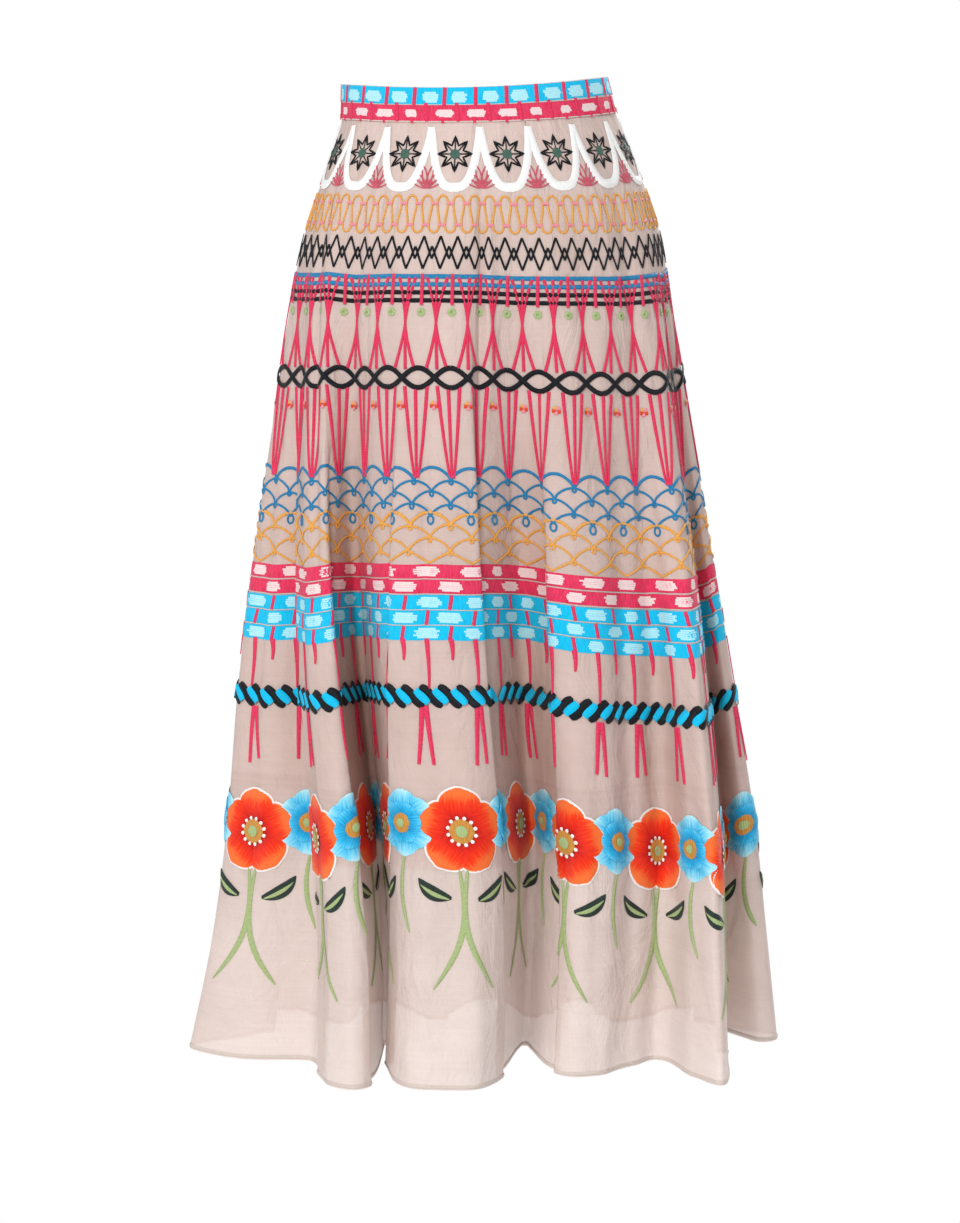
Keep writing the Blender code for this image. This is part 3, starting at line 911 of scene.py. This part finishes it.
# The waistband: a row of blue blocks over a pink row with pale dashes.
BAND_OUT = 0.0007
BAND_MARGIN = 0.0019
BAND_PITCH = 0.0012
BAND_DOME = 0.0004
top_row = Level(0.0078, BAND_MARGIN)
low_row = Level(0.0244, BAND_MARGIN)
for stitches, level, below, half, out in (
        (blue, top_row, 0.0, 0.0079, 0.0), (pink, low_row, 0.0, 0.0082, 0.0),
        (seam_thread, low_row, 0.0074, 0.0006, 0.0004),
        (seam_thread, low_row, -0.0084, 0.0004, 0.0003)):
    stitches.all_round(level, BAND_PITCH, below, half, BAND_OUT + out, BAND_DOME)
places, step = top_row.starts(0.0285)
patches(pale_blue, top_row, places, below=0.0012, length=0.0165, height=0.0100,
        lift=BAND_OUT + 0.0004)
joins = places[:-1] + step / 2
lines(pink, top_row, joins + 0.0010, -0.0080, joins - 0.0012, 0.0086, half=0.0019,
      lift=BAND_OUT + 0.0005)
places, step = low_row.starts(0, len(places))
places = places[:-1] + 0.4 * step
patches(pale_pink, low_row, places, below=-0.0002, length=0.0150, height=0.0070,
        lift=BAND_OUT + 0.0004)
for shift, top, bottom, half in ((0.46, -0.0100, 0.0074, 0.0018), (-0.03, 0.0030, 0.0086, 0.0016)):
    lines(pink, low_row, places + shift * step, top, places + shift * step, bottom, half,
          lift=BAND_OUT + 0.0006)

# Bold white swags with eight-pointed black stars and rose sprigs.
SWAG_FOOT = 0.0270
SWAG_HEIGHT = 0.0560
STAR_POINTS = 8
STAR_OUT = 0.0165
STAR_IN = 0.0084
STAR_LIFT = -0.004
SPOKE_START = 0.004
SPOKE_END = 0.80 * STAR_OUT
SPRIG_LEANS = (-1.15, -0.69, -0.23, 0.23, 0.69, 1.15)
swag, places, step = spaced(0.066, 0.046)
t = np.linspace(-1, 1, 33)
white.strips(swag, places[:, None] + t * step * 0.5, SWAG_FOOT - SWAG_HEIGHT * np.abs(t) ** 3.0,
             half=0.0036 + 0.0008 * (1 - np.abs(t)), lift=0.0005, dome=0.0012)
corner = np.arange(2 * STAR_POINTS + 1)
angle = np.pi * corner / STAR_POINTS
radius = np.where(corner % 2, STAR_IN, STAR_OUT)
finer = np.arange(0, 2 * STAR_POINTS, 0.25)
star_x = np.interp(finer, corner, radius * np.sin(angle))
star_y = np.interp(finer, corner, radius * np.cos(angle))
black.strips(swag, places[:, None] + star_x, STAR_LIFT + star_y, half=0.00095, lift=0.0005,
             dome=0.0007, closed=True)
for k in range(STAR_POINTS):
    sine, cosine = math.sin(2 * math.pi * k / STAR_POINTS), math.cos(2 * math.pi * k / STAR_POINTS)
    lines(black, swag, places + SPOKE_START * sine, STAR_LIFT + SPOKE_START * cosine,
          places + SPOKE_END * sine, STAR_LIFT + SPOKE_END * cosine, half=0.0006, lift=0.0005,
          dome=0.0005)
bead = whole_ring(14)
for size in (0.0040, 0.0018):
    green.strips(swag, places[:, None] + size * 0.6 * np.cos(bead),
                 STAR_LIFT + size * 0.6 * np.sin(bead), half=size * 0.55, lift=0.0013,
                 dome=0.0004, closed=True)
petal = whole_ring(26)
for lean in SPRIG_LEANS:
    reach = 0.0215 - 0.0065 * abs(lean)
    wide = 0.0022 * np.sin(petal)
    tall = reach * (0.5 - 0.5 * np.cos(petal))
    rose.strips(swag, (places + step / 2)[:, None] + (wide * np.cos(lean) + tall * np.sin(lean)),
                SWAG_FOOT + (wide * np.sin(lean) - tall * np.cos(lean)), half=0.0007,
                lift=0.0005, dome=0.0006, closed=True)

# Orange looped cord with small pink ties.
LOOP_HEIGHT = 0.0172
LOOP_BULGE = 0.0029
TIE_REACH = 0.0034
loops, places, step = spaced(0.118, 0.0150)
phase = np.linspace(0, 2 * np.pi, 33)
path = places[:, None] + step * phase / (2 * np.pi) - step / 2 + LOOP_BULGE * np.sin(2 * phase)
orange.strips(loops, path, LOOP_HEIGHT * np.cos(phase), half=0.00105, lift=0.0005, dome=0.0009)
for shift, below in ((0.5, -0.0100), (0.0, 0.0100)):
    tied = places - shift * step
    lines(tie_pink, loops, tied - TIE_REACH, below, tied + TIE_REACH, below, half=0.0013,
          lift=0.0012, dome=0.0006)

# Black crossed zigzags.
zigzag, places, step = spaced(0.154, 0.0162)
for flip in (-1, 1):
    far, near = flip * 0.0152, flip * -0.0058
    for side in (-1, 1):
        lines(black, zigzag, places + side * step / 2, near, places, far, half=0.00105)

# Two blue and two black couched lines.
for stitches, down in ((deep_blue, 0.1765), (deep_blue, 0.1840), (black, 0.1915), (black, 0.1990)):
    stitches.all_round(Level(down), pitch=0.0018, below=0.0, half=0.0021, lift=0.0005, dome=0.0012)

# Bundles of drawn pink threads, spread like sheaves.
SHEAF_REACH = 0.0435
SHEAF_SPREAD = 0.33
sheaves, places, step = spaced(0.2200)
t = np.linspace(-1, 1, 15)
for spread in (-1.0, 0.0, 1.0):
    stray = chance.normal(0.0, 0.0009, (len(places), 2))
    path = places[:, None] + step * SHEAF_SPREAD * spread * np.abs(t) ** 1.4 + np.where(
        t < 0, stray[:, :1], stray[:, 1:]) * np.abs(t)
    pink.strips(sheaves, path, SHEAF_REACH * t, half=0.0012 + 0.0004 * np.abs(t), lift=0.0007,
                dome=0.0010)
RING_SIZE = 0.0024
rosettes, places, step = spaced(0.2100)
ring = whole_ring(15)
pale_green.strips(rosettes, places[:, None] + step / 2 + RING_SIZE * np.cos(ring),
                  RING_SIZE * np.sin(ring), half=0.0017, lift=0.0006, dome=0.0009, closed=True)
bars, places, step = spaced(0.1880)
lines(pink, bars, places + step / 2, -0.0140, places + step / 2, 0.0150, half=0.0016, lift=0.0016)

# A black twisted wave over the threads, with small blossoms below.
WAVE_HEIGHT = 0.0092
BLOSSOM_SIZE = 0.0026
PETAL_REACH = 0.0016
wave, places, step = spaced(0.2715, count=SHARES // 2)
t = np.linspace(-0.5, 0.5, 41)
for flip in (-1, 1):
    black.strips(wave, places[:, None] + t * step, flip * WAVE_HEIGHT * np.cos(2 * np.pi * t),
                 half=0.0024, lift=0.0012, dome=0.0014)
dots, places, step = spaced(0.2975)
petal_colours = (red, tie_pink, red, orange, tie_pink)
for k, stitches in enumerate(petal_colours):
    angle = 2 * math.pi * k / len(petal_colours) + 0.4
    middle = places + BLOSSOM_SIZE * math.cos(angle)
    raise_by = BLOSSOM_SIZE * math.sin(angle)
    lines(stitches, dots, middle - PETAL_REACH, raise_by, middle + PETAL_REACH, raise_by,
          half=0.0017, lift=0.0008)

# Lower threads that gather on the lace below.
lower, places, step = spaced(0.3225)
t = np.linspace(-1, 1, 13)
for spread in (-1.0, 0.0, 1.0):
    stray = chance.normal(0.0, 0.0012, (len(places), 1))
    path = places[:, None] + stray * (1 - t) / 2 + step / 2 + step * 0.30 * spread * (
        0.16 + 0.84 * ((1 - t) / 2) ** 0.8)
    pink.strips(lower, path, 0.0430 * t, half=0.0015 - 0.0003 * t, lift=0.0007, dome=0.0010)

# Scalloped needle-lace nets, blue over orange.
Net = namedtuple("Net", "down rows hill loop pointed")


def net(stitches, plan):
    """Rows of arches, each hanging a small loop between two arches."""
    t = np.linspace(-0.5, 0.5, 17)
    ring = whole_ring(14)
    for row in range(plan.rows):
        level = Level(plan.down + row * plan.hill)
        places, step = level.starts(0, SHARES)
        places = places + (step / 2 if row % 2 else 0.0)
        last = row == plan.rows - 1
        pointed = last and plan.pointed
        if pointed:
            arch = -plan.hill * (1 - 2 * np.abs(t))
        else:
            arch = -plan.hill * np.cos(np.pi * t) ** 0.7
        jitter = chance.uniform(0.9, 1.08, (len(places), 1))
        stitches.strips(level, places[:, None] + t * step, arch * jitter,
                        half=0.0015 if row == 0 else 0.0011, lift=0.0005, dome=0.0009)
        if not pointed:
            size = plan.loop * (1.7 if last else 1.0)
            stitches.strips(level, places[:, None] + step / 2 + size * 0.85 * np.cos(ring),
                            size * 0.9 + size * 1.15 * np.sin(ring), half=0.0010, lift=0.0006,
                            dome=0.0008, closed=True)


net(orange, Net(down=0.4105, rows=4, hill=0.0120, loop=0.0021, pointed=True))
net(deep_blue, Net(down=0.3675, rows=4, hill=0.0116, loop=0.0021, pointed=False))

# Two pink rows with pale dashes and three rows of blue blocks.
for row in range(2):
    level = ribbon(pink, 0.4478 + row * 0.0143, 0.0132)
    places, step = level.starts(0, SHARES)
    patches(pale_pink, level, places + row * step / 2, below=0.0, length=0.0195, height=0.0090)
for row in range(3):
    level = ribbon(blue, 0.4768 + row * 0.0146, 0.0136)
    places, step = level.starts(0, SHARES)
    places = places + (row % 2) * step / 2
    patches(pale_blue, level, places, below=0.0, length=0.0190, height=0.0096)
    lean = 0.0012 * np.sign(places)
    lines(pink, level, places + step / 2 - lean, -0.0068, places + step / 2 + lean, 0.0068,
          half=0.0018, lift=0.0008, dome=0.0008)
for down in (0.4616, 0.4759, 0.4907, 0.5053):
    seam_thread.all_round(Level(down), pitch=0.0018, below=0.0, half=0.0005, lift=0.0007,
                          dome=0.0005)

# Tapered pink stitches from the blocks towards the rope.
below_blocks, places, step = spaced(0.5180)
t = np.linspace(0, 1, 12)
for k, (reach, half) in enumerate(((0.0480, 0.0024), (0.0200, 0.0027))):
    path = (places + k * step / 2)[:, None] + 0.0012 * np.sin(2.6 * t)
    pink.strips(below_blocks, path, reach * t, half=half * (1 - 0.55 * t), lift=0.0006,
                dome=0.0010)

# A rope chain of blue lozenges wrapped in black, mirrored at the centre front.
rope, places, step = spaced(0.5725, 0.0172)
t = np.linspace(-1, 1, 15)
flips = np.where(places > 0, 1.0, -1.0)[:, None]
path = places[:, None] + flips * step / 2 - flips * 0.62 * step * t
black.strips(rope, path, 0.0078 * np.sin(np.pi / 2 * t),
             half=(0.0046 + 0.0026 * t ** 2) * ends_in(15, 0.35, 0.25), lift=0.0009, dome=0.0016)
t = np.linspace(-1, 1, 9)
path = places[:, None] + flips * (-0.33 * step * t)
blue.strips(rope, path, 0.0064 * t, half=0.0041 * ends_in(9, 0.2, 0.7), lift=0.0020, dome=0.0014)

# Paired pink stitches under the rope.
under, places, step = spaced(0.6080)
t = np.linspace(-1, 1, 12)
for side in (-1, 1):
    stray = chance.normal(0.0, 0.0010, (len(places), 1))
    reach = chance.uniform(0.93, 1.06, (len(places), 1))
    path = places[:, None] + side * (0.0018 + 0.0040 * (t + 1) / 2) + stray * (t + 1) ** 2 / 2
    pink.strips(under, path, 0.0265 * ((t + 1) * reach - 1),
                half=0.0026 * (1 - 0.35 * (t + 1) / 2), lift=0.0006, dome=0.0011)

# The rolled hem.
edge = Level(HEM_DOWN)
places = edge.starts(0.0018)[0]
hem_roll.strips(edge, places, -0.0030 - drop(edge.turn(places), HEM_DOWN), half=0.0018,
                lift=0.0002, dome=0.0007)


def petal_ring(stitches, level, place, below, radius, petals, width, turned, lift):
    """Broad satin petals around a centre."""
    start = 0.12
    t = np.linspace(0, 1, 18)
    profile = width * np.sin(np.pi * np.clip(t, 0.0, 0.995) ** 1.35) ** 0.55 + 0.0002
    for k in range(petals):
        angle = turned + 2 * math.pi * k / petals
        out = radius * (start + (1 - start) * t)
        stitches.strips(level, place + math.cos(angle) * out, below + math.sin(angle) * out,
                        profile, lift + 0.00025 * (k % 2) + 0.0001 * k, dome=0.0010, across=9)


def disc(stitches, level, place, below, radius, lift, dome=0.0006):
    """A round satin centre."""
    t = np.linspace(-1, 1, 11)
    stitches.strips(level, place + radius * t, below,
                    radius * np.sqrt(np.maximum(1 - t ** 2, 0.01)), lift, dome, across=7)


def leaf(stitches, level, start, end, width, bow, lift=0.0006, even=0.8):
    """A leaf or a stem: a bowed strip between two places."""
    t = np.linspace(0, 1, 17)
    run, fall = end[0] - start[0], end[1] - start[1]
    length = math.hypot(run, fall)
    along = start[0] + run * t + bow * np.sin(np.pi * t) * (-fall / length)
    below = start[1] + fall * t + bow * np.sin(np.pi * t) * (run / length)
    half = width * np.sin(np.pi * np.clip(t * 0.94 + 0.05, 0, 1)) ** even
    stitches.strips(level, along, below, half, lift, dome=0.0008)


# A border of red and blue blossoms with mirrored stems and leaves.
STEM_EVEN = 0.45
STUDS = 12
STUD_RING = 0.0128
BLUE_LIFT = -0.008
border, places, step = spaced(0.7000, 0.1120)
for place in places:
    petal_ring(red_edge, border, place, 0.0, 0.0425, 5, 0.0215, -math.pi / 2, lift=0.0004)
    petal_ring(red_petals, border, place, 0.0, 0.0408, 5, 0.0198, -math.pi / 2, lift=0.0010)
    disc(mustard, border, place, 0.0, radius=0.0115, lift=0.0030)
    for k in range(STUDS):
        angle = 2 * math.pi * (k + 0.5) / STUDS
        disc(red_edge, border, place + STUD_RING * math.cos(angle), STUD_RING * math.sin(angle),
             radius=0.0018, lift=0.0032, dome=0.0005)
    disc(pale_green, border, place, 0.0, radius=0.0055, lift=0.0040)
    for side in (-1, 1):
        leaf(stem_green, border, (place + side * 0.004, 0.036), (place + side * 0.028, 0.150),
             width=0.0027, bow=side * 0.014, even=STEM_EVEN)
        leaf(dark_leaf, border, (place + side * 0.012, 0.064), (place + side * 0.042, 0.044),
             width=0.0066, bow=side * 0.005)
        leaf(stem_green, border, (place + side * 0.014, 0.065), (place + side * 0.040, 0.050),
             width=0.0028, bow=side * 0.002, lift=0.0009)
for place in places[:-1] + step / 2:
    petal_ring(blue_petals, border, place, BLUE_LIFT, 0.0320, 6, 0.0150, math.pi / 2, lift=0.0004)
    petal_ring(blue_petals, border, place, BLUE_LIFT, 0.0200, 6, 0.0098, math.pi / 3, lift=0.0018)
    disc(mustard, border, place, BLUE_LIFT, radius=0.0095, lift=0.0032)
    disc(pale_green, border, place, BLUE_LIFT, radius=0.0042, lift=0.0042)
    leaf(stem_green, border, (place, 0.022), (place + 0.004, 0.096), width=0.0024, bow=0.007,
         even=STEM_EVEN)

# Each colour of thread: its dark and light tones and how its stitches lie.
THREADS = table("Thread", "name stitches dark light", (
    ("blue_satin", blue, (0.0, 0.42, 0.76), (0.0, 0.64, 0.98)),
    ("pale_blue_satin", pale_blue, (0.26, 0.76, 0.93), (0.58, 0.92, 0.98)),
    ("pink_satin", pink, (0.56, 0.012, 0.062), (0.95, 0.055, 0.15)),
    ("pale_dashes", pale_pink, (0.86, 0.58, 0.60), (0.95, 0.84, 0.83)),
    ("seam_lines", seam_thread, (0.50, 0.40, 0.36), (0.86, 0.78, 0.74)),
    ("pink_ties", tie_pink, (0.80, 0.19, 0.27), (0.92, 0.34, 0.40)),
    ("rose_sprigs", rose, (0.50, 0.06, 0.10), (0.72, 0.14, 0.20)),
    ("black_cord", black, (0.001, 0.002, 0.004), (0.006, 0.009, 0.014)),
    ("white_cord", white, (0.88, 0.88, 0.87), (0.98, 0.98, 0.97)),
    ("orange_cord", orange, (0.66, 0.25, 0.03), (0.96, 0.50, 0.12)),
    ("deep_blue_cord", deep_blue, (0.0, 0.13, 0.31), (0.03, 0.29, 0.56)),
    ("dark_green_beads", green, (0.03, 0.08, 0.06), (0.08, 0.17, 0.13)),
    ("pale_green_rings", pale_green, (0.26, 0.38, 0.14), (0.48, 0.60, 0.28)),
    ("red_satin", red, (0.72, 0.015, 0.006), (0.85, 0.09, 0.02)),
    ("white_edges", red_edge, (0.88, 0.78, 0.74), (0.97, 0.94, 0.92)),
    ("mustard_centres", mustard, (0.44, 0.17, 0.025), (0.72, 0.35, 0.07)),
    ("stem_satin", stem_green, (0.26, 0.35, 0.13), (0.48, 0.58, 0.27)),
    ("hem_roll", hem_roll, (0.60, 0.50, 0.45), (0.74, 0.63, 0.57)),
    ("dark_leaves", dark_leaf, (0.008, 0.018, 0.016), (0.03, 0.05, 0.04)),
))
for kind in THREADS:
    across = kind.stitches not in (red_edge, dark_leaf)
    look = thread(kind.name.replace("_", " "), kind.dark, kind.light, across)
    kind.stitches.build(kind.name, look, "organza")
RED_STOPS = ((0.12, (0.46, 0.004, 0.001)), (0.34, (0.78, 0.012, 0.001)),
             (0.62, (0.95, 0.040, 0.002)), (0.80, (0.95, 0.17, 0.03)))
BLUE_STOPS = ((0.10, (0.0, 0.22, 0.50)), (0.38, (0.02, 0.48, 0.84)),
              (0.66, (0.26, 0.74, 0.94)), (0.86, (0.74, 0.94, 0.98)))
red_petals.build("red_petals", petal_thread("red petal thread", RED_STOPS), "organza")
blue_petals.build("blue_petals", petal_thread("blue petal thread", BLUE_STOPS), "organza")

# Fine metal teeth down the centre back, set to the left and right in turn.
TOOTH_PITCH = 0.0015
TOOTH = (0.0008, 0.0005, 0.00045)
TOOTH_SHIFT = 0.0003
TOOTH_BEVEL = 0.00012
TEETH_FIRST = 0.0118
TEETH_LAST = ZIP_DOWN - 0.0012
CHAIN_OUT = 0.0006
downs = np.arange(TEETH_FIRST, TEETH_LAST, TOOTH_PITCH)
line = cloth_plan(0.0, downs)
rise = cloth_height(np.zeros(len(downs)), downs)
sides = np.where(np.arange(len(downs)) % 2, 1, -1)
middles = np.column_stack([line[:, 0] + TOOTH_SHIFT * sides, line[:, 1] + CHAIN_OUT, rise])
corners = np.array([[x, y, z] for x in (-1, 1) for y in (-1, 1) for z in (-1, 1)]) * TOOTH
quads = np.array([[0, 1, 3, 2], [4, 6, 7, 5], [0, 4, 5, 1], [2, 3, 7, 6], [0, 2, 6, 4],
                  [1, 5, 7, 3]])
points = (middles[:, None, :] + corners).reshape(-1, 3)
faces = (quads + 8 * np.arange(len(downs))[:, None, None]).reshape(-1, 4)
mesh = bpy.data.meshes.new("zip_teeth")
mesh.from_pydata(points.tolist(), [], faces.tolist())
build = bmesh.new()
build.from_mesh(mesh)
bmesh.ops.recalc_face_normals(build, faces=build.faces)
bmesh.ops.bevel(build, geom=build.edges[:], offset=TOOTH_BEVEL, segments=1, affect="EDGES")
build.to_mesh(mesh)
build.free()
metal_look = metal("zip metal")
finish_piece("zip_teeth", mesh, metal_look)

# Materials of the pieces that keep their solid shape.
band_look = firm_cloth("waistband cloth", (0.66, 0.50, 0.45), (0.76, 0.61, 0.56), 0.0012)
tape_look = firm_cloth("zip tape", (0.62, 0.52, 0.47), (0.80, 0.70, 0.64), 0.0009)
for node, look in (("waistband", band_look), ("zip_chain", tape_look),
                   ("zip_slider", metal_look), ("zip_pull", metal_look)):
    for holder in bpy.data.objects[node].material_slots:
        holder.material = look

# Floor, light and camera.
FLOOR_DROP = 1.4
FLOOR_SIZE = 400.0
FLOOR_TONE = 0.68
build = bmesh.new()
bmesh.ops.create_grid(build, x_segments=1, y_segments=1, size=FLOOR_SIZE)
mesh = bpy.data.meshes.new("floor")
build.to_mesh(mesh)
build.free()
floor = put("floor", mesh)
floor.location = (0, 0, ORIGIN_DOWN - HEM_DOWN - FLOOR_DROP)
ground = Nodes("pale floor", roughness=0.9, sheen=0.0)
ground.paint((FLOOR_TONE, FLOOR_TONE, FLOOR_TONE, 1.0))
ground.surface(ground.add("ShaderNodeLightPath", "Is Camera Ray"), ground.shader.outputs[0],
               ground.add("ShaderNodeEmission", Strength=1.0))
mesh.materials.append(ground.made)

SKY = 0.56
world = bpy.data.worlds.new("studio")
world.use_nodes = True
tree = world.node_tree
sky = tree.nodes["Background"]
sky.inputs["Color"].default_value = (1.0, 1.0, 1.0, 1.0)
seen = tree.nodes.new("ShaderNodeLightPath")
strength = tree.nodes.new("ShaderNodeMapRange")
strength.inputs["To Min"].default_value = SKY
strength.inputs["To Max"].default_value = 1.0
tree.links.new(seen.outputs["Is Camera Ray"], strength.inputs["Value"])
tree.links.new(strength.outputs["Result"], sky.inputs["Strength"])
bpy.context.scene.world = world
bpy.context.scene.view_settings.view_transform = "Standard"

LAMPS = table("Lamp", "name toward power softness", (
    ("key", (0.34, 0.94, -0.46), 1.95, 22.0),
    ("rim", (-0.35, -0.82, -0.45), 2.2, 40.0),
))
for lamp in LAMPS:
    data = bpy.data.lights.new(lamp.name, "SUN")
    data.energy = lamp.power
    data.angle = math.radians(lamp.softness)
    put(lamp.name, data).rotation_euler = Vector(lamp.toward).to_track_quat("-Z", "Y").to_euler()

CAMERA_PLACE = (0.0053, -3.6, 0.0165)
CAMERA_TILT = 8.09
PIXEL_FOCUS = 3735.0
FRAME_HEIGHT = 1223
FILM = 36.0
data = bpy.data.cameras.new("camera")
data.sensor_fit = "VERTICAL"
data.sensor_height = FILM
data.lens = PIXEL_FOCUS / FRAME_HEIGHT * FILM
camera = put("camera", data)
camera.location = CAMERA_PLACE
camera.rotation_euler = (math.radians(90 - CAMERA_TILT), 0, 0)
bpy.context.scene.camera = camera
